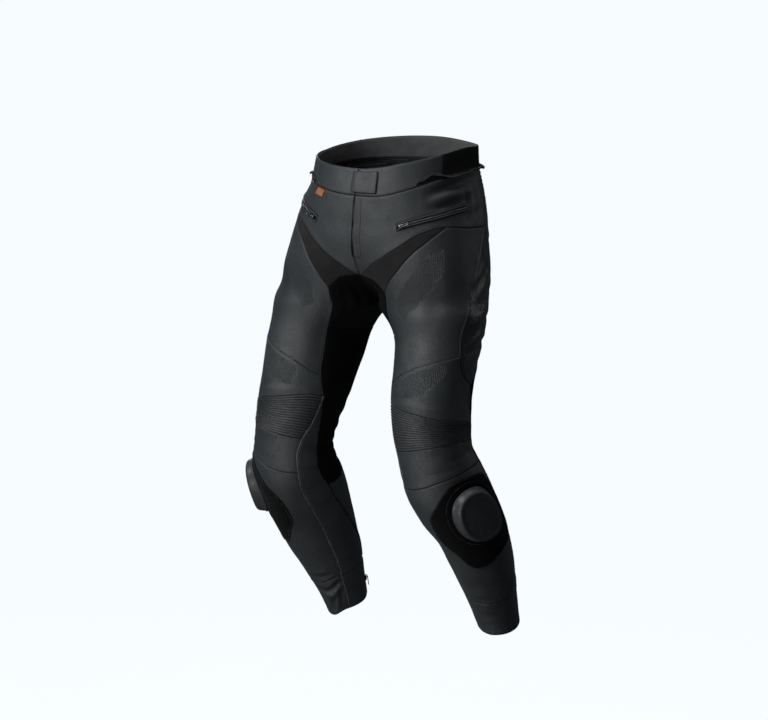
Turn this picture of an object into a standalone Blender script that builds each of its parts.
"""Motorcycle trousers, filled out as if they were worn.

Leather panels and stretch inserts are cut along named seam lines, which are
drawn on one hollow form. A place on the form is (u, v): u runs once round half
the body, from the centre front or inseam (0) over the front (0.25), the outer
side (0.5) and the back (0.75) to the centre back or inseam (1), and v is the
distance in mm down the side, from the waist (0) to the hem (950).

Metres, +Z up. The front faces -Y, the wearer's left is +X, and the origin is
the middle of the waist opening.
"""
import math

import bmesh
import bpy
import numpy as np
from mathutils import Matrix, Vector
from mathutils.geometry import delaunay_2d_cdt

NAME = "motorcycle_trousers"
MM = 0.001

# Cloth and seams, in mm
LEATHER = 1.2           # every panel, stretch inserts too
SEAM_GAP = 0.4          # between two pieces that are sewn edge to edge
INSEAM_GAP = 1.0        # between the gusset's front and back, which meet at a sharp angle
FLY_GAP = 2.4           # the open slit of the fly, over its zip
FLY_END = 175.0         # v
LAID_GAP = 0.35         # under a piece that lies on another
STEP = 31.0             # longest step of the facets
TURN_WIDTH = 500.0      # mm that one turn of u stands for while a piece is meshed
NORMAL_STEP = 0.006     # step in u, and 500 times that in v, for a normal

# The form, in mm. The pelvis is one oval ring a row, through the side, the
# centre front and the centre back. Near the crotch the two centres dip in.
PELVIS_COLUMNS = ("down side_x side_y side_z front_y front_z back_y back_z"
                  " front_in front_drop back_in back_drop").split()
PELVIS_ROWS = (
    (0, 160, -2, 0, -130, -18, 128, 18, 0, 0, 0, 0),
    (46, 167, -10, -46, -142, -64, 130, -28, 0, 0, 0, 0),
    (100, 184, -20, -99, -150, -118, 136, -84, 0, 0, 0, 0),
    (160, 198, -34, -158, -154, -172, 142, -144, 4, 2, 2, 0),
    (215, 209, -46, -213, -156, -216, 142, -200, 36, 14, 10, 4),
    (262, 217, -52, -260, -156, -256, 128, -246, 88, 12, 44, 14),
)
OVAL = 2.2              # exponent of the pelvis ovals: 2 is an ellipse
SPREAD = 1.6            # how u is spread round them
DIP = 12                # how narrow the dip at the centre lines is
# A leg is one oval ring a row, long and short from its middle to its edge,
# turned about the leg. inner flattens it at the inseam, and level tips it from
# square to the leg (0) to horizontal (1).
LEG_COLUMNS = "down x y z long short turn inner level".split()
LEG_ROWS = (
    (300, 120, -47, -288, 112, 97, -30, 0, 1.0),
    (345, 131, -59, -337, 103, 88, -38, 14, 0.7),
    (400, 139, -79, -391, 96, 80, -40, 7, 0.4),
    (460, 147, -99, -450, 87, 76, -40, 0, 0.2),
    (520, 157, -112, -510, 80, 73, -35, 0, 0),
    (570, 166, -112, -558, 76, 71, -25, 0, 0),
    (620, 176, -98, -607, 80, 76, -20, 0, 0),
    (680, 182, -62, -662, 83, 74, -30, 0, 0),
    (740, 187, -24, -713, 79, 68, -35, 4, 0),
    (800, 188, 7, -767, 71, 62, -35, 2, 0),
    (860, 186, 36, -821, 61, 53, -35, 0, 0),
    (910, 185, 61, -875, 52, 45, -35, 0, 0),
    (950, 184, 79, -919, 46, 39, -35, 0, 0),
)
SEAM_BLEND = 6          # how narrow the fork's own slope is, round the inseam

# Seam lines as (u, v) points. A "round" line is a function of u, a "down" line
# of v. Where two lines meet, both have the same point.
LINES = {
    "waist_top": ("round", ((0, 0), (0.062, 0), (0.148, 0), (0.3, 0), (0.395, 0), (0.52, 0),
                            (0.64, 0), (0.74, 0), (0.83, 0), (1, 0))),
    "waist_seam": ("round", ((0, 50), (0.052, 50), (0.148, 49.5), (0.25, 43), (0.3, 39.5),
                             (0.35, 36.5), (0.395, 35), (0.5, 35), (0.61, 39), (0.64, 40.5),
                             (0.74, 43.5), (0.83, 45), (1, 46))),
    "elastic_front": ("down", ((0.395, 0), (0.395, 35))),
    "elastic_back": ("down", ((0.64, 0), (0.64, 40.5))),
    "centre_front": ("down", ((0, 0), (0, 6), (0, 45), (0, 50), (0, 175), (0, 207), (0, 300))),
    "centre_back": ("down", ((1, 0), (1, 46), (1, 112), (1, 238), (1, 300))),
    "inseam_front": ("down", ((0, 300), (0, 345))),
    "inseam_back": ("down", ((1, 300), (1, 345))),
    "yoke_low": ("round", ((0, 207), (0.06, 205), (0.09, 197), (0.12, 187), (0.16, 174),
                           (0.2, 158), (0.24, 143), (0.28, 128), (0.33, 118), (0.392, 115),
                           (0.46, 124), (0.51, 131), (0.565, 138))),
    "yoke_back": ("down", ((0.61, 39), (0.6, 70), (0.585, 105), (0.565, 138))),
    "back_yoke_low": ("round", ((0.565, 138), (0.7, 128), (0.85, 118), (1, 112))),
    "seat_side": ("down", ((0.565, 138), (0.61, 200), (0.655, 255), (0.7, 305))),
    "seat_low": ("round", ((0.7, 305), (0.78, 292), (0.86, 272), (0.9, 261), (0.95, 247),
                           (1, 238))),
    "arch": ("round", ((0, 207), (0.04, 209.5), (0.08, 215.5), (0.125, 229), (0.157, 253))),
    "thigh_top": ("round", ((0.157, 253), (0.182, 229), (0.217, 203), (0.258, 171),
                            (0.327, 138), (0.392, 115))),
    "gusset_low": ("round", ((0, 345), (0.137, 345))),
    "gusset_low_back": ("round", ((0.88, 345), (1, 345))),
    "gusset_back": ("down", ((0.9, 261), (0.885, 300), (0.88, 345))),
    "outer": ("down", ((0.565, 138), (0.527, 176), (0.503, 208), (0.478, 249), (0.435, 301),
                       (0.418, 348), (0.425, 386))),
    "side_hook": ("down", ((0.425, 386), (0.435, 405), (0.465, 427), (0.51, 438))),
    "back_edge": ("down", ((0.7, 305), (0.665, 350), (0.6, 400), (0.51, 438))),
    "knee_top": ("round", ((0.1, 440), (0.14, 436), (0.2, 426), (0.28, 414), (0.35, 401),
                           (0.425, 386))),
    "rib_top": ("round", ((0.07, 474), (0.13, 476), (0.18, 482), (0.24, 490), (0.3, 497),
                          (0.35, 504), (0.41, 508), (0.48, 510), (0.565, 511))),
    "rib_low": ("round", ((0.12, 549), (0.25, 549), (0.4, 548), (0.575, 549))),
    "knee_low": ("round", ((0.14, 604), (0.27, 600), (0.35, 597), (0.45, 596), (0.58, 600))),
    "inner": ("down", ((0.157, 253), (0.156, 292), (0.137, 345), (0.115, 400), (0.1, 440),
                       (0.07, 474), (0.075, 497), (0.09, 525), (0.12, 549), (0.14, 575),
                       (0.14, 604), (0.14, 640), (0.13, 680), (0.12, 736), (0.11, 800),
                       (0.105, 850), (0.107, 880))),
    "knee_back": ("down", ((0.51, 438), (0.54, 475), (0.565, 511), (0.575, 549), (0.57, 575),
                           (0.58, 600), (0.6, 640), (0.62, 700), (0.62, 760), (0.6, 830),
                           (0.585, 880))),
    "calf_top": ("round", ((0.6, 640), (0.72, 655), (0.85, 664), (0.95, 662), (1.03, 650))),
    "calf_seam": ("down", ((0.07, 474), (0.052, 510), (0.05, 555), (0.048, 614), (0.03, 650),
                           (0.020, 690), (0, 725), (-0.030, 770), (-0.072, 820),
                           (-0.105, 856), (-0.11, 880), (-0.11, 950))),
    "cuff_top": ("round", ((-0.11, 880), (0.107, 880), (0.35, 880), (0.585, 880),
                           (0.89, 880))),
    "hem": ("round", ((-0.11, 950), (0.107, 950), (0.35, 950), (0.585, 950), (0.89, 950))),
}

# Pieces of cloth: the lines round each, counter-clockwise seen from outside, as
# (line, from, to), and a fourth number where the line is met one turn later.
PANELS = {
    "waistband_front": (("waist_seam", 0, 0.395), ("elastic_front", 35, 0),
                        ("waist_top", 0.395, 0), ("centre_front", 0, 50)),
    "waistband_elastic": (("waist_seam", 0.395, 0.64), ("elastic_back", 40.5, 0),
                          ("waist_top", 0.64, 0.395), ("elastic_front", 0, 35)),
    "waistband_back": (("waist_seam", 0.64, 1), ("centre_back", 46, 0),
                       ("waist_top", 1, 0.64), ("elastic_back", 0, 40.5)),
    "yoke_front": (("yoke_low", 0, 0.565), ("yoke_back", 138, 39),
                   ("waist_seam", 0.61, 0), ("centre_front", 50, 207)),
    "back_yoke": (("back_yoke_low", 0.565, 1), ("centre_back", 112, 46),
                  ("waist_seam", 1, 0.61), ("yoke_back", 39, 138)),
    "seat": (("seat_low", 0.7, 1), ("centre_back", 238, 112),
             ("back_yoke_low", 1, 0.565), ("seat_side", 138, 305)),
    "crescent": (("arch", 0, 0.157), ("thigh_top", 0.157, 0.392), ("yoke_low", 0.392, 0)),
    "crotch_front": (("centre_front", 207, 300), ("inseam_front", 300, 345),
                     ("gusset_low", 0, 0.137), ("inner", 345, 253), ("arch", 0.157, 0)),
    "crotch_back": (("gusset_low_back", 0.88, 1), ("inseam_back", 345, 300),
                    ("centre_back", 300, 238), ("seat_low", 1, 0.9), ("gusset_back", 261, 345)),
    "thigh_front": (("inner", 253, 440), ("knee_top", 0.1, 0.425), ("outer", 386, 138),
                    ("yoke_low", 0.565, 0.392), ("thigh_top", 0.392, 0.157)),
    "thigh_side": (("outer", 138, 386), ("side_hook", 386, 438), ("back_edge", 438, 305),
                   ("seat_side", 305, 138)),
    "above_knee": (("inner", 440, 474), ("rib_top", 0.07, 0.565), ("knee_back", 511, 438),
                   ("side_hook", 438, 386), ("knee_top", 0.425, 0.1)),
    "knee_ribs": (("inner", 474, 549), ("rib_low", 0.12, 0.575), ("knee_back", 549, 511),
                  ("rib_top", 0.565, 0.07)),
    "knee": (("inner", 549, 604), ("knee_low", 0.14, 0.58), ("knee_back", 600, 549),
             ("rib_low", 0.575, 0.12)),
    "shin": (("inner", 604, 880), ("cuff_top", 0.107, 0.585), ("knee_back", 880, 600),
             ("knee_low", 0.58, 0.14)),
    "inner_leg": (("calf_seam", 474, 880), ("cuff_top", -0.11, 0.107), ("inner", 880, 474)),
    "back_stretch": (("back_edge", 305, 438), ("knee_back", 438, 640),
                     ("calf_top", 0.6, 1.03), ("calf_seam", 650, 474, 1), ("inner", 474, 345, 1),
                     ("gusset_low", 0.137, 0, 1), ("gusset_low_back", 1, 0.88),
                     ("gusset_back", 345, 261), ("seat_low", 0.9, 0.7)),
    "calf_back": (("knee_back", 640, 880), ("cuff_top", 0.585, 0.89),
                  ("calf_seam", 880, 650, 1), ("calf_top", 1.03, 0.6)),
    "cuff": (("calf_seam", 880, 950), ("hem", -0.11, 0.89), ("calf_seam", 950, 880, 1),
             ("cuff_top", 0.89, -0.11)),
}
# Pieces that cross the middle of the body: half is built, then mirrored.
CENTRED = ("waistband_back", "back_yoke", "crotch_front", "crotch_back")
FREE_LINES = ("waist_top", "hem")   # nothing is sewn to these

# Outlines of what lies on a panel, as (u, v) corners, counter-clockwise from outside
MARKS = {
    "tab_short": ("waistband_front", ((0, 45), (0.062, 45), (0.062, 6), (0, 6))),
    "tab_long": ("waistband_front", ((0.062, 45), (0.148, 45), (0.148, 6), (0.062, 6))),
    "label_back": ("back_yoke", ((0.73, 63), (0.84, 64), (0.825, 51), (0.742, 50))),
    "fly": ("yoke_front", ((0, 175), (0.052, 175), (0.052, 50), (0, 50))),
    "placket": ("yoke_front", ((0.022, 172), (0.074, 170), (0.074, 53), (0.022, 53))),
    "pocket": ("yoke_front", ((0.225, 114), (0.34, 100), (0.42, 95.5), (0.48, 96), (0.48, 81),
                              (0.42, 80.5), (0.34, 85), (0.225, 99))),
    "patch": ("shin", ((0.24, 655), (0.23, 705), (0.27, 742), (0.31, 775), (0.36, 783),
                       (0.46, 770), (0.52, 768), (0.58, 755), (0.59, 695), (0.575, 650),
                       (0.54, 617), (0.42, 603), (0.36, 609), (0.3, 628))),
    "puck": ("shin", ((0.340, 652), (0.336, 672), (0.347, 694), (0.372, 711), (0.405, 720),
                      (0.440, 723), (0.475, 721), (0.505, 711), (0.524, 692), (0.527, 668),
                      (0.515, 646), (0.492, 630), (0.460, 622), (0.425, 620), (0.388, 624),
                      (0.358, 635))),
}

# The waist isn't level: how far its edge and its seam are pulled up, in mm, by the bearing in
# degrees from the front (0) over the wearer's left (90) and the right (-90) to the back
PULL_COLUMNS = "bearing edge seam".split()
PULL_ROWS = ((-180, -4, -2), (-120, -8, -6), (-90, -7, -10), (-60, 0, -10), (-35, 0, -3),
             (-20, 0, 0), (0, 1, 0), (12, 4, 0), (25, 10, 1), (37, 16, 4), (60, 22, 10),
             (89, 21, 9), (110, 9, 5), (130, 0, 2), (180, -4, -2))
PULL_LEVELS = (0.0, -45.0, -90.0)       # z of the edge, of the seam and of the pull's end

# The wearer's right hem hangs lower in front and is a little narrower there: its front is moved by
# HEM_MOVE, in mm toward the zip and down. The move grows over HEM_REACH, in mm ahead of the leg's
# middle, and over HEM_LEVELS, in z.
HEM_TOWARD = (0.819, 0.574)             # the level direction from the front of the hem to its zip
HEM_MIDDLE = (-132.4, -105.4)           # the leg's middle in that direction at z of -821 and -919
HEM_REACH, HEM_LEVELS = (-8.0, 42.0), (-800.0, -915.0)
HEM_MOVE = (14.0, 11.0)

# What lies on the panels, in mm
FACING = 1.0
LABEL_CLOTH = 0.8
HOOK_TAPE = 1.2         # the patch that the puck sticks to
PUCK_HEIGHT = 18.0      # over the patch, at its middle
PUCK_FALL = 5.0         # how much lower the rim of its face is
PUCK_TAPER = 0.86       # its face's size over its base's
ZIP_STRIP = 1.6         # a pocket's welts and zip in one strip
FLANGE_IN = 3.0         # the jacket zip leaves the band this far over the waist seam
FLANGE_WIDE = 10.5      # and ends this far over it
FLANGE_OUT = 9.0        # its edge stands this far off the band
FLANGE_START = 0.3      # in u
SIDE_LABEL = (22.0, 14.0)   # wide and high, a loop of tape
SIDE_LABEL_AT = (0.237, 54.5)
SIDE_LABEL_TILT = 9.0       # degrees
SIDE_LABEL_TAPE = 1.4
CALF_TAPE = 6.0         # the tape reaches this far each side of its seam
CALF_TAPE_SINK = 2.4    # its edges lie this much deeper than its middle
CALF_ZIP_TOP = 690.0    # v

# Zip sliders and pull tabs, in mm
SLIDER = (8.0, 11.0, 4.2)       # wide, long, high
PULL = (5.5, 20.0, 1.4)         # wide, long, thick
PULL_HEEL = 0.5                 # past the hinge
PULL_GAP = 0.35
POCKET_SLIDER_AT = (0.243, 104.5)
POCKET_ZIP_TO = (0.3, 95.5)
CALF_SLIDER_AT = (-0.11, 920.0)
CALF_ZIP_TO = (-0.11, 946.0)

MATERIALS = {   # base colour, roughness, metallic
    "leather": ((0.045, 0.052, 0.057), 0.45, 0.0),
    "stretch": ((0.022, 0.020, 0.020), 0.9, 0.0),
    "facing": ((0.16, 0.16, 0.16), 0.85, 0.0),
    "elastic": ((0.014, 0.014, 0.014), 0.9, 0.0),
    "hook_tape": ((0.010, 0.010, 0.011), 0.95, 0.0),
    "puck": ((0.060, 0.064, 0.066), 0.5, 0.0),
    "zip_tape": ((0.012, 0.012, 0.013), 0.8, 0.0),
    "zip_metal": ((0.25, 0.25, 0.25), 0.35, 0.9),
    "label": ((0.55, 0.16, 0.05), 0.7, 0.0),
}


def table(columns, rows):
    """The rows of a table as named columns."""
    return dict(zip(columns, np.array(rows, float).T))


def smooth(at, values, x):
    """A smooth curve through values at the places at, read at x."""
    slope = np.gradient(values, at, axis=0) if len(at) > 2 else np.full_like(
        values, (values[1] - values[0]) / (at[1] - at[0]))
    i = np.clip(np.searchsorted(at, x, side="right") - 1, 0, len(at) - 2)
    h = at[i + 1] - at[i]
    t = (x - at[i]) / h
    return ((2 * t**3 - 3 * t**2 + 1) * values[i] + (t**3 - 2 * t**2 + t) * slope[i] * h
            + (3 * t**2 - 2 * t**3) * values[i + 1] + (t**3 - t**2) * slope[i + 1] * h)


def pelvis_rings(u):
    rows = table(PELVIS_COLUMNS, PELVIS_ROWS)
    cosine = np.cos(np.pi * u)
    across = np.clip(np.sin(np.pi * u), 0, 1) ** SPREAD
    along = np.sign(cosine) * np.clip(1 - across**OVAL, 0, 1) ** (1 / OVAL)
    front = np.clip(cosine, 0, 1) ** DIP
    back = np.clip(-cosine, 0, 1) ** DIP

    def oval(axis):
        side, fore, aft = (rows[f"{place}_{axis}"][:, None] for place in ("side", "front", "back"))
        return side - (aft - fore) / 2 * along + ((fore + aft) / 2 - side) * along**2

    y = oval("y") + front * rows["front_in"][:, None] - back * rows["back_in"][:, None]
    z = oval("z") - front * rows["front_drop"][:, None] - back * rows["back_drop"][:, None]
    x = rows["side_x"][:, None] * across
    return rows["down"], np.stack((x, y, z), -1)


def leg_rings(u):
    rows = table(LEG_COLUMNS, LEG_ROWS)
    middle = np.stack((rows["x"], rows["y"], rows["z"]), -1)
    along = np.gradient(middle, axis=0)
    along /= np.linalg.norm(along, axis=1)[:, None]
    level = rows["level"][:, None]
    axis = -along * (1 - level) + np.array((0, 0, 1)) * level
    axis /= np.linalg.norm(axis, axis=1)[:, None]
    right = np.array((1, 0, 0)) - axis * axis[:, :1]
    right /= np.linalg.norm(right, axis=1)[:, None]
    back = np.cross(axis, right)
    angle = 2 * np.pi * u
    turned = angle + np.pi - np.radians(rows["turn"])[:, None]
    long, short = rows["long"][:, None], rows["short"][:, None]
    radius = long * short / np.hypot(short * np.cos(turned), long * np.sin(turned))
    radius = radius - rows["inner"][:, None] * np.clip(np.cos(angle), 0, 1) ** 2
    points = (middle[:, None] - (radius * np.cos(angle))[..., None] * right[:, None]
              - (radius * np.sin(angle))[..., None] * back[:, None])
    inseam = np.cos(np.pi * u) ** DIP
    start = middle[0, 0] - leg_inseam_radius(rows) * right[0, 0]
    points[0, :, 0] -= inseam * start     # the fork's ring meets the middle of the body
    return rows["down"], points


def leg_inseam_radius(rows):
    turned = math.pi - math.radians(rows["turn"][0])
    long, short = rows["long"][0], rows["short"][0]
    return long * short / math.hypot(short * math.cos(turned), long * math.sin(turned))


def form(u, v):
    """Points of the form's left half, in mm, at arrays u and v."""
    u, v = np.asarray(u, float), np.asarray(v, float)
    u = np.where(u > 1, u - 1, np.where(u < 0, u + 1, u))
    pelvis_down, pelvis = pelvis_rings(u)
    leg_down, leg = leg_rings(u)
    down, rings = np.concatenate((pelvis_down, leg_down)), np.concatenate((pelvis, leg))
    gap = np.diff(down)[:, None, None]
    run = np.diff(rings, axis=0) / gap
    slope = np.concatenate((run[:1], (rings[2:] - rings[:-2]) / (gap[1:] + gap[:-1]), run[-1:]))
    above, below = slope.copy(), slope.copy()
    fork = len(pelvis_down)
    inseam = (np.abs(np.cos(np.pi * u)) ** SEAM_BLEND)[:, None]
    above[fork] += (run[fork - 1] - slope[fork]) * inseam
    below[fork] += (run[fork] - slope[fork]) * inseam
    i = np.clip(np.searchsorted(down, v, side="right") - 1, 0, len(down) - 2)
    each = np.arange(len(u))
    h = (down[i + 1] - down[i])[:, None]
    t = (v - down[i])[:, None] / h
    return ((2 * t**3 - 3 * t**2 + 1) * rings[i, each] + (t**3 - 2 * t**2 + t) * below[i, each] * h
            + (3 * t**2 - 2 * t**3) * rings[i + 1, each] + (t**3 - t**2) * above[i + 1, each] * h)


def form_normal(u, v):
    """Outward unit normals of the form's left half."""
    u, v = np.asarray(u, float), np.asarray(v, float)
    on_body = v < LEG_ROWS[0][0]
    low = np.where(on_body, np.clip(u - NORMAL_STEP, 0, 1), u - NORMAL_STEP)
    high = np.where(on_body, np.clip(u + NORMAL_STEP, 0, 1), u + NORMAL_STEP)
    step = NORMAL_STEP * TURN_WIDTH
    around = form(high, v) - form(low, v)
    down = form(u, v + step) - form(u, v - step)
    normal = np.cross(down, around)
    normal[on_body & ((u == 0) | (u == 1)), 0] = 0
    return normal / np.linalg.norm(normal, axis=1)[:, None]


def stations(name):
    """A seam line's (u, v) points: its own and evenly spaced ones between them."""
    kind, points = LINES[name]
    points = np.array(points, float)
    along = 0 if kind == "round" else 1
    places, found = points[:, along], []
    for a, b in zip(places[:-1], places[1:]):
        ends = np.array((a, b))
        other = smooth(places, points[:, 1 - along], ends)
        pair = form(ends, other) if along == 0 else form(other, ends)
        count = max(1, math.ceil(np.linalg.norm(pair[1] - pair[0]) / STEP))
        found += list(np.linspace(a, b, count + 1)[:-1])
    at = np.array(found + [places[-1]])
    other = smooth(places, points[:, 1 - along], at)
    return np.stack((at, other) if along == 0 else (other, at), -1), at


def walk(name, start, end, turns=0):
    """The stations of a line from start to end, moved on by whole turns of u."""
    points, at = stations(name)
    low, high = min(start, end), max(start, end)
    between = points[(at > low - 1e-6) & (at < high + 1e-6)] + np.array((turns, 0))
    return between if start < end else between[::-1]


def outline(name):
    """The (u, v) loop round a panel, and the seam gap along each of its edges."""
    loop, gaps = [], []
    for run in PANELS[name]:
        points = walk(*run)
        width = (INSEAM_GAP if run[0].startswith("inseam") else SEAM_GAP) / 2
        if run[0] in FREE_LINES or (name in CENTRED and run[0].startswith("centre")):
            width = 0.0
        loop += [tuple(p) for p in points[:-1]]
        for p in points[:-1]:
            on_fly = name == "yoke_front" and run[0] == "centre_front" and p[1] < FLY_END
            gaps.append(FLY_GAP / 2 if on_fly else width)
    return np.array(loop), np.array(gaps)


def inset(points, normals, gaps):
    """A closed loop of points moved in by the gap of each edge, within the form."""
    edge = np.roll(points, -1, 0) - points
    inward = np.cross(normals, edge)
    inward /= np.linalg.norm(inward, axis=1)[:, None]
    before, gap_before = np.roll(inward, 1, 0), np.roll(gaps, 1)
    same = np.sum(inward * before, 1)
    flat = same > 0.97
    spread = np.where(flat, 1.0, np.maximum(1 - same**2, 0.05))
    a = np.where(flat, gap_before / 2, (gap_before - same * gaps) / spread)
    b = np.where(flat, gaps / 2, (gaps - same * gap_before) / spread)
    return points + before * a[:, None] + inward * b[:, None]


def inside(loop, points):
    """Which (u, v) points lie inside a loop."""
    found = np.zeros(len(points), bool)
    for (u0, v0), (u1, v1) in zip(loop, np.roll(loop, -1, 0)):
        crosses = (v0 > points[:, 1]) != (v1 > points[:, 1])
        rise = v1 - v0 if v1 != v0 else 1.0
        found ^= crosses & (points[:, 0] < (u1 - u0) * (points[:, 1] - v0) / rise + u0)
    return found


def closed(corners):
    """A mark's corners with evenly spaced points between them."""
    loop = []
    for a, b in zip(np.array(corners, float), np.roll(np.array(corners, float), -1, 0)):
        pair = form(np.array((a[0], b[0])), np.array((a[1], b[1])))
        count = max(1, math.ceil(np.linalg.norm(pair[1] - pair[0]) / STEP))
        if a[0] == b[0] and a[0] in (0, 1):      # along the middle: the seam's own stations
            name = "centre_front" if a[0] == 0 else "centre_back"
            loop += [tuple(p) for p in walk(name, a[1], b[1])[:-1]]
        else:
            loop += [tuple(a + (b - a) * k / count) for k in range(count)]
    return np.array(loop)


def cut(name):
    """A panel's facets: (u, v) of each point, its place in mm, and triangles."""
    loop, gaps = outline(name)
    marks = [closed(corners) for panel, corners in MARKS.values() if panel == name]
    points, edges = list(map(tuple, loop)), []
    index = {tuple(np.round(p, 6)): k for k, p in enumerate(points)}
    for ring in [loop] + marks:
        ids = []
        for p in ring:
            key = tuple(np.round(p, 6))
            if key not in index:
                index[key] = len(points)
                points.append(tuple(p))
            ids.append(index[key])
        edges += list(zip(ids, ids[1:] + ids[:1]))
    scale = np.array((TURN_WIDTH, -1.0))
    low, high = loop.min(0), loop.max(0)
    columns = np.arange(low[0], high[0], STEP / TURN_WIDTH) + STEP / TURN_WIDTH / 2
    rows = np.arange(low[1], high[1], STEP) + STEP / 2
    grid = np.array([(u, v) for v in rows for u in columns])
    grid = grid[inside(loop, grid)]
    known = np.array(points) * scale
    dense = np.concatenate([known] + [(known[a] + known[b])[None] / 2 for a, b in edges])
    for p in grid:
        if np.min(np.linalg.norm(dense - p * scale, axis=1)) > STEP * 0.5:
            points.append(tuple(p))
    flat = [Vector(np.array(p) * scale) for p in points]
    coords, _, faces, origin, _, _ = delaunay_2d_cdt(flat, edges, [], 1, 1e-4)
    places = np.array([points[o[0]] if o else np.array(c) / scale for c, o in zip(coords, origin)])
    solid = form(places[:, 0], places[:, 1])
    rim = form(loop[:, 0], loop[:, 1])
    inner_rim = inset(rim, form_normal(loop[:, 0], loop[:, 1]), gaps)
    if name in CENTRED:
        inner_rim[rim[:, 0] == 0, 0] = 0
    moved = {tuple(np.round(p, 6)): q for p, q in zip(loop, inner_rim)}
    solid = np.array([moved.get(tuple(np.round(p, 6)), q) for p, q in zip(places, solid)])
    return places, solid, [tuple(f) for f in faces]


def part_of(places, faces, mark):
    """The facets of a panel that a mark covers."""
    loop = closed(MARKS[mark][1])
    middles = np.array([places[list(f)].mean(0) for f in faces])
    return [f for f, yes in zip(faces, inside(loop, middles)) if yes]


def lifted(places, height):
    """Places of the form, moved out by a height in mm."""
    at = form(places[:, 0], places[:, 1])
    return at + form_normal(places[:, 0], places[:, 1]) * np.reshape(height, (-1, 1))


def joined(*sheets):
    """Several sheets of (points, faces) as one, with shared points made one."""
    points, faces, index = [], [], {}
    for sheet_points, sheet_faces in sheets:
        ids = []
        for p in sheet_points:
            key = tuple(np.round(p, 3))
            ids.append(index.setdefault(key, len(points)))
            if ids[-1] == len(points):
                points.append(p)
        faces += [tuple(ids[k] for k in f) for f in sheet_faces]
    return np.array(points), faces


def mirrored(points, faces):
    return points * np.array((-1, 1, 1)), [tuple(reversed(f)) for f in faces]


def ramp(values, start, end):
    """A smooth rise from 0 at start to 1 at end."""
    share = np.clip((values - start) / (end - start), 0, 1)
    return share**2 * (3 - 2 * share)


def pulled(points):
    """Points of the whole garment, in mm, with the waist and the right hem out of level."""
    points = np.array(points, float)
    bearing = np.degrees(np.arctan2(points[:, 0], -points[:, 1]))
    pull = table(PULL_COLUMNS, PULL_ROWS)
    band, yoke = (ramp(points[:, 2], low, high)
                  for low, high in zip(PULL_LEVELS[1:], PULL_LEVELS[:2]))
    at_edge, at_seam = (smooth(pull["bearing"], pull[k], bearing) for k in ("edge", "seam"))
    points[:, 2] += at_seam * yoke + (at_edge - at_seam) * band
    middle = np.interp(points[:, 2], (-919, -821), HEM_MIDDLE[::-1])
    ahead = middle - points[:, :2] @ HEM_TOWARD
    share = ramp(ahead, *HEM_REACH) * ramp(points[:, 2], *HEM_LEVELS) * (points[:, 0] < 0)
    points[:, :2] += np.outer(share * HEM_MOVE[0], HEM_TOWARD)
    points[:, 2] -= share * HEM_MOVE[1]
    return points


def material(slot):
    made = bpy.data.materials.get(slot)
    if made is None:
        colour, roughness, metallic = MATERIALS[slot]
        made = bpy.data.materials.new(slot)
        made.use_nodes = True
        shader = made.node_tree.nodes["Principled BSDF"]
        shader.inputs["Base Color"].default_value = (*colour, 1)
        shader.inputs["Roughness"].default_value = roughness
        shader.inputs["Metallic"].default_value = metallic
        made.diffuse_color = (*colour, 1)
    return made


def mesh_object(name, points, faces, slot):
    """A mesh object from points in mm, without the points that no face uses."""
    used = sorted({k for f in faces for k in f})
    number = {k: n for n, k in enumerate(used)}
    points = pulled(points)
    mesh = bpy.data.meshes.new(name)
    mesh.from_pydata([tuple(points[k] * MM) for k in used], [],
                     [tuple(number[k] for k in f) for f in faces])
    mesh.materials.append(material(slot))
    mesh.shade_smooth()
    made = bpy.data.objects.new(name, mesh)
    bpy.data.collections[NAME].objects.link(made)
    return made


def cloth(name, points, faces, slot, thick, centred=False):
    """A sheet with thickness; a centred one is mirrored first."""
    if centred:
        points, faces = joined((points, faces), mirrored(points, faces))
    made = mesh_object(name, points, faces, slot)
    wall = made.modifiers.new("thickness", "SOLIDIFY")
    wall.thickness = thick * MM
    wall.offset = 0
    return made


def both_sides(name, points, faces, slot, thick):
    cloth(f"{name}_left", points, faces, slot, thick)
    cloth(f"{name}_right", *mirrored(points, faces), slot, thick)


def over(under_thick, thick):
    """How far the middle of a sheet lies from the middle of the one under it."""
    return under_thick / 2 + LAID_GAP + thick / 2


def make_panels():
    slots = {"waistband_elastic": "elastic", "crescent": "stretch", "crotch_front": "stretch",
             "crotch_back": "stretch", "back_stretch": "stretch"}
    cuts = {name: cut(name) for name in PANELS}
    for name, (_, points, faces) in cuts.items():
        slot = slots.get(name, "leather")
        if name in CENTRED:
            cloth(name, points, faces, slot, LEATHER, centred=True)
        else:
            both_sides(name, points, faces, slot, LEATHER)
    return cuts


def make_tab(cuts):
    """The closing tab, from the right front band over to the left."""
    places, _, faces = cuts["waistband_front"]
    points = lifted(places, over(LEATHER, LEATHER))
    short = part_of(places, faces, "tab_short")
    tab = joined((points, short + part_of(places, faces, "tab_long")), mirrored(points, short))
    cloth("waist_tab", *tab, "leather", LEATHER)


def make_facing(cuts):
    """The facing inside the band, tucked in at both edges, and the label under it."""
    tuck = 1.0
    sheets = []
    for name in ("waistband_front", "waistband_elastic", "waistband_back"):
        places, _, faces = cuts[name]
        places = places.copy()
        seam = smooth(*np.array(LINES["waist_seam"][1], float).T, places[:, 0])
        places[:, 1] = np.clip(places[:, 1], tuck, seam - tuck)
        sheets.append((lifted(places, -over(LEATHER, FACING)), faces))
    half = joined(*sheets)
    cloth("waist_facing", *joined(half, mirrored(*half)), "facing", FACING)
    places, _, faces = cuts["back_yoke"]
    points = lifted(places, -over(LEATHER, LABEL_CLOTH))
    label = part_of(places, faces, "label_back")
    cloth("back_label", *mirrored(points, label), "zip_tape", LABEL_CLOTH)


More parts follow.
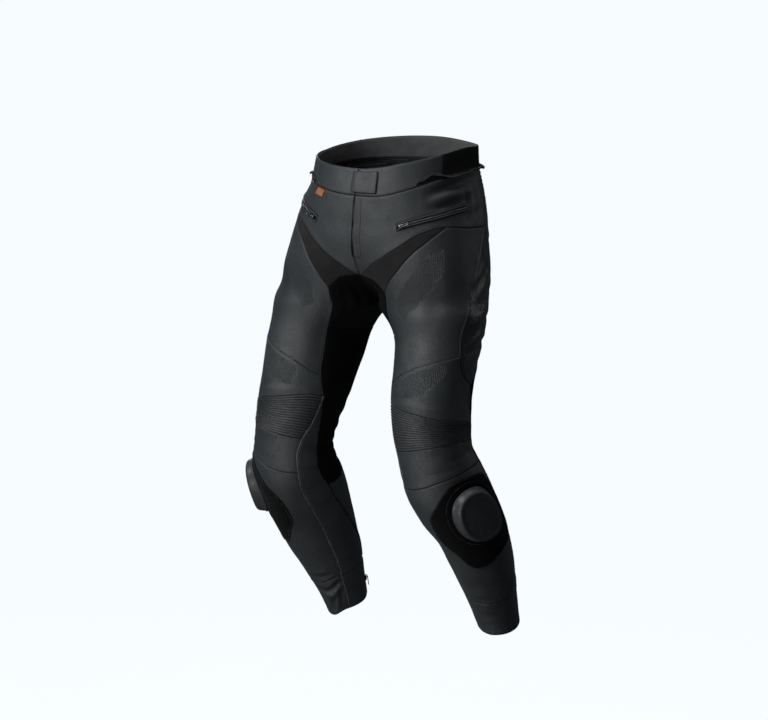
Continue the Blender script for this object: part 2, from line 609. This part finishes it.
def make_fly(cuts):
    places, _, faces = cuts["yoke_front"]
    under = lifted(places, -over(LEATHER, FACING))
    fly = part_of(places, faces, "fly")
    cloth("fly_zip", *joined((under, fly), mirrored(under, fly)), "zip_tape", FACING)
    upper = lifted(places, over(LEATHER, LEATHER))
    cloth("fly_placket", upper, part_of(places, faces, "placket"), "leather", LEATHER)


def make_pocket_zips(cuts):
    places, _, faces = cuts["yoke_front"]
    points = lifted(places, over(LEATHER, ZIP_STRIP))
    both_sides("pocket_zip", points, part_of(places, faces, "pocket"), "zip_tape", ZIP_STRIP)


def make_patches(cuts):
    places, _, faces = cuts["shin"]
    patch = part_of(places, faces, "patch")
    height = over(LEATHER, HOOK_TAPE)
    both_sides("slider_patch", lifted(places, height), patch, "hook_tape", HOOK_TAPE)
    base = lifted(places, height + HOOK_TAPE / 2 + LAID_GAP)
    sole = part_of(places, faces, "puck")
    puck("knee_puck_left", base, sole)
    puck("knee_puck_right", *mirrored(base, sole))


def puck(name, base, sole):
    """A knee slider: its sole follows the shin, and its domed face is a bit smaller."""
    made = mesh_object(name, base, sole, "puck")
    work = bmesh.new()
    work.from_mesh(made.data)
    for face in work.faces:
        face.normal_update()
    middle = sum((v.co for v in work.verts), Vector()) / len(work.verts)
    out = sum((f.normal * f.calc_area() for f in work.faces), Vector()).normalized()
    reach = max((v.co - middle - out * (v.co - middle).dot(out)).length for v in work.verts)
    top = max((v.co - middle).dot(out) for v in work.verts) + PUCK_HEIGHT * MM
    grown = bmesh.ops.extrude_face_region(work, geom=work.faces[:])
    for v in [e for e in grown["geom"] if isinstance(e, bmesh.types.BMVert)]:
        across = v.co - middle - out * (v.co - middle).dot(out)
        fall = PUCK_FALL * MM * (across.length / reach) ** 2
        v.co = middle + across * PUCK_TAPER + out * (top - fall)
    bmesh.ops.recalc_face_normals(work, faces=work.faces[:])
    work.to_mesh(made.data)
    work.free()


def make_jacket_zip():
    """Half of the zip that joins the trousers to a jacket: a flange round the back."""
    points, at = stations("waist_seam")
    points = points[at > FLANGE_START - 1e-6]
    root = lifted(points - np.array((0, FLANGE_IN)), over(LEATHER, LEATHER) + LAID_GAP)
    edge = lifted(points - np.array((0, FLANGE_WIDE)), FLANGE_OUT)
    strip = np.concatenate((root, edge))
    n = len(points)
    faces = [(k, k + 1, n + k + 1, n + k) for k in range(n - 1)]
    strip[[n - 1, 2 * n - 1], 0] = 0
    cloth("jacket_zip", strip, faces, "zip_tape", LEATHER, centred=True)


def make_side_label():
    """A folded loop of tape that hangs from the waist seam, on the right."""
    wide, high = (side / 2 for side in SIDE_LABEL)
    tilt = math.radians(SIDE_LABEL_TILT)
    turn = np.array(((math.cos(tilt), -math.sin(tilt)), (math.sin(tilt), math.cos(tilt))))
    corners = np.array(((-wide, high), (wide, high), (wide, -high), (-wide, -high))) @ turn
    corners = np.array(SIDE_LABEL_AT) + corners / (TURN_WIDTH, 1)
    points = lifted(corners, LEATHER / 2 + LAID_GAP + SIDE_LABEL_TAPE / 2)
    cloth("side_label", *mirrored(points, [(0, 1, 2, 3)]), "label", SIDE_LABEL_TAPE)


def make_calf_zips():
    """The tape behind the calf's seam, from below the knee to the hem."""
    points, at = stations("calf_seam")
    points = points[at > CALF_ZIP_TOP - 1e-6]
    across = np.array((CALF_TAPE / TURN_WIDTH, 0))
    depth = over(LEATHER, FACING)
    columns = [lifted(points - across, -depth - CALF_TAPE_SINK), lifted(points, -depth),
               lifted(points + across, -depth - CALF_TAPE_SINK)]
    n = len(points)
    faces = [(c * n + k + 1, (c + 1) * n + k + 1, (c + 1) * n + k, c * n + k)
             for c in range(2) for k in range(n - 1)]
    both_sides("calf_zip", np.concatenate(columns), faces, "zip_tape", FACING)


def axes_at(place, toward):
    """Origin and axes on the form: across a zip, along it and out."""
    ends = np.array((place, toward), float)
    at, to = form(ends[:, 0], ends[:, 1])
    out = form_normal(ends[:1, 0], ends[:1, 1])[0]
    along = to - at
    along -= out * np.dot(along, out)
    along /= np.linalg.norm(along)
    return at, np.cross(along, out), along, out


def block(name, centre, axes, size, slot, origin=None):
    """A box of a size along three axes, with its object's origin where asked."""
    origin = centre if origin is None else origin
    work = bmesh.new()
    bmesh.ops.create_cube(work, size=1)
    turn = Matrix(np.array(axes).T).to_4x4()
    shift = Matrix.Translation(Vector((centre - origin) * MM))
    bmesh.ops.transform(work, matrix=shift @ turn @ Matrix.Diagonal((*(np.array(size) * MM), 1)),
                        verts=work.verts)
    bmesh.ops.recalc_face_normals(work, faces=work.faces[:])
    mesh = bpy.data.meshes.new(name)
    work.to_mesh(mesh)
    work.free()
    mesh.materials.append(material(slot))
    made = bpy.data.objects.new(name, mesh)
    made.location = origin * MM
    bpy.data.collections[NAME].objects.link(made)
    return made


def make_pull(zip_name, place, toward, ground):
    """A slider and its pull tab, which lies along the zip from its hinge."""
    at, across, along, out = axes_at(place, toward)
    wide, long, high = SLIDER
    pull_wide, pull_long, pull_thick = PULL
    slider = at + out * (ground + high / 2)
    hinge = at + out * (ground + high + PULL_GAP + pull_thick / 2) - along * long / 4
    tab = hinge + along * (pull_long / 2 - PULL_HEEL)
    for side, flip in (("left", 1), ("right", -1)):
        mirror = np.array((flip, 1, 1))
        axes = (across * mirror, along * mirror, out * mirror)
        block(f"{zip_name}_slider_{side}", slider * mirror, axes, (wide, long, high), "zip_metal")
        block(f"{zip_name}_pull_{side}", tab * mirror, axes, PULL, "zip_metal",
              origin=hinge * mirror)
        print(f"{zip_name}_pull_{side} hinge", np.round(hinge * mirror * MM, 5),
              "axis", np.round(across * mirror, 5))


def main():
    for old in list(bpy.data.objects):
        bpy.data.objects.remove(old, do_unlink=True)
    bpy.context.scene.collection.children.link(bpy.data.collections.new(NAME))
    cuts = make_panels()
    make_tab(cuts)
    make_facing(cuts)
    make_fly(cuts)
    make_pocket_zips(cuts)
    make_patches(cuts)
    make_jacket_zip()
    make_side_label()
    make_calf_zips()
    strip_top = over(LEATHER, ZIP_STRIP) + ZIP_STRIP / 2 + LAID_GAP
    make_pull("pocket", POCKET_SLIDER_AT, POCKET_ZIP_TO, strip_top)
    make_pull("calf", CALF_SLIDER_AT, CALF_ZIP_TO, LEATHER / 2 + LAID_GAP)


main()
